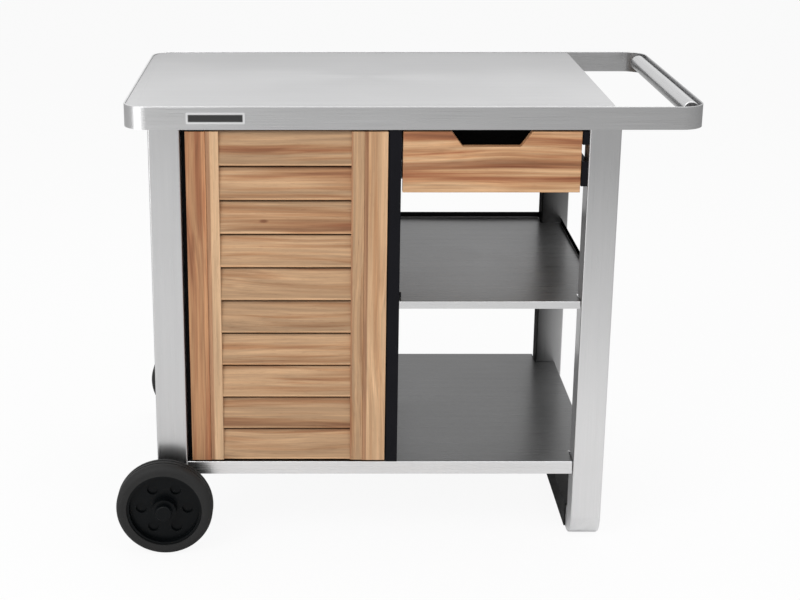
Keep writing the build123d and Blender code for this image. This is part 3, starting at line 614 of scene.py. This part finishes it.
def dress_wood():
    pitch = (DOOR_HIGH[2] - DOOR_LOW[2]) / SLAT_COUNT
    boards = ("Z", DOOR_LOW[2], pitch)
    centre = (
        DOOR_LOW[0] + KNOT_FROM_LEFT,
        DOOR_LOW[1],
        DOOR_HIGH[2] - KNOT_SLATS_DOWN * pitch,
    )
    knot = (centre, KNOT_WIDTH, KNOT_HEIGHT)
    dress(wood("wood_slats", "X", 3.1, boards=boards, knot=knot), "door_slats")
    dress_stiles()
    dress(wood("wood_back_rails", "X", 6.6), "door_back_rails")
    top = DRAWER_HIGH[2]
    height = top - DRAWER_LOW[2]
    streaks = [
        ("Z", top - lower * height, top - upper * height, STREAK_SOFT, tone)
        for upper, lower, tone in DRAWER_STREAKS
    ]
    drawer_front = wood(
        "wood_drawer_front", "X", 9.3, tones=WOOD_TONES_DRAWER, level=1.05, bands=streaks
    )
    dress(drawer_front, "drawer_front")
    dress(wood("wood_drawer_box", "Y", 4.4), "drawer_left_side", "drawer_right_side")
    dress(
        wood("wood_drawer_boards", "X", 2.4),
        "drawer_inner_front",
        "drawer_back",
        "drawer_bottom",
        "drawer_dowels",
    )


def dress_rest():
    dress(
        zinc("zinc_steel"),
        "front_top_rail",
        "rear_top_rail",
        "cross_rails",
        "worktop_stiffeners",
        "bottom_shelf_stiffener",
        "leg_top_inserts",
        "leg_top_screws",
        "axle",
        "axle_washers",
        "axle_nuts",
        "door_screws",
        "door_strike_plate",
        "drawer_rail_left",
        "drawer_rail_right",
        "drawer_runner_left",
        "drawer_runner_right",
    )
    # Black zinc on the shelf bolts and pivot pins; on the door's pivot plates the black is
    # painted shadow, standing in for the dark gap under the band above the left stile
    dress(
        zinc("blackened_steel_and_painted_shadow", 0.02), "shelf_bolts", "door_pivot_pins", "door_pivot_plates"
    )
    dress(
        moulded("black_board", 0.007, 0.45, tint=(0.95, 0.95, 1.25), relief=0.03, gloss=0.08),
        "divider_panel",
        "cabinet_side_panel",
        "cabinet_back_panel",
        "drawer_carrier_bars",
    )
    dress(
        moulded("black_plastic", 0.008, 0.5),
        "left_leg_caps",
        "runner_cover",
        "shelf_spacers",
        "door_magnet_catch",
        "axle_bushes",
    )
    dress(moulded("pocket_plastic", 0.002, 0.7, gloss=0.05), "drawer_finger_pocket")
    dress(moulded("tyre_rubber", 0.022, 0.6, grain=500.0), "front_tyre", "rear_tyre")
    dress(
        moulded(
            "wheel_plastic",
            0.003,
            0.35,
            grain=1200.0,
            tint=(0.75, 1.0, 1.2),
            relief=0.03,
            gloss=0.12,
        ),
        "front_rim",
        "rear_rim",
        "front_hub_cap",
        "rear_hub_cap",
    )
    dress(
        moulded("bush_nylon", 0.7, 0.45, tint=(1.0, 0.98, 0.93), gloss=0.4),
        "front_wheel_bush",
        "rear_wheel_bush",
    )


def make_floor():
    """A plain pale floor that keeps the cart's shadow."""
    mesh = bpy.data.meshes.new("floor")
    build = bmesh.new()
    bmesh.ops.create_grid(build, x_segments=4, y_segments=4, size=FLOOR_HALF_SIZE)
    build.to_mesh(mesh)
    build.free()
    floor = bpy.data.objects.new("floor", mesh)
    scene.collection.objects.link(floor)
    make = Shader("floor")
    diffuse = make.node("BsdfDiffuse", {"Color": grey(FLOOR_LEVEL)})
    light = make.node("Emission", {"Color": grey(1.0), "Strength": 1.0})
    seen = make.node("LightPath").outputs["Is Camera Ray"]
    blend = make.node("MixShader")
    make.put(blend.inputs[0], make.maths("MULTIPLY", seen, FLOOR_WHITE))
    make.put(blend.inputs[1], diffuse.outputs[0])
    make.put(blend.inputs[2], light.outputs[0])
    make.put(make.output.inputs["Surface"], blend.outputs[0])
    mesh.materials.append(make.material)


def make_world():
    """A white background that metal reflects, and a dimmer light on everything else."""
    world = bpy.data.worlds.new("world")
    scene.world = world
    world.use_nodes = True
    tree = world.node_tree
    tree.nodes.clear()
    output = tree.nodes.new("ShaderNodeOutputWorld")
    background = tree.nodes.new("ShaderNodeBackground")
    path = tree.nodes.new("ShaderNodeLightPath")
    share = path.outputs["Is Camera Ray"]
    for ray in ("Is Glossy Ray", "Is Transmission Ray"):
        either = tree.nodes.new("ShaderNodeMath")
        either.operation = "MAXIMUM"
        tree.links.new(share, either.inputs[0])
        tree.links.new(path.outputs[ray], either.inputs[1])
        share = either.outputs[0]
    strength = tree.nodes.new("ShaderNodeMapRange")
    strength.inputs["To Min"].default_value = WORLD_LIGHT
    strength.inputs["To Max"].default_value = 1.0
    tree.links.new(share, strength.inputs["Value"])
    background.inputs["Color"].default_value = grey(1.0)
    tree.links.new(strength.outputs["Result"], background.inputs["Strength"])
    tree.links.new(background.outputs[0], output.inputs["Surface"])


def area_light(name, place, target, size, power):
    data = bpy.data.lights.new(name, "AREA")
    data.shape = "RECTANGLE"
    data.size, data.size_y = size
    data.energy = power
    lamp = bpy.data.objects.new(name, data)
    lamp.location = place
    aim = Vector(target) - Vector(place)
    lamp.rotation_euler = aim.to_track_quat("-Z", "Y").to_euler()
    scene.collection.objects.link(lamp)


make_camera()
dress_steel()
dress_wood()
dress_rest()
make_floor()
make_world()
for light in LIGHTS:
    area_light(*light)
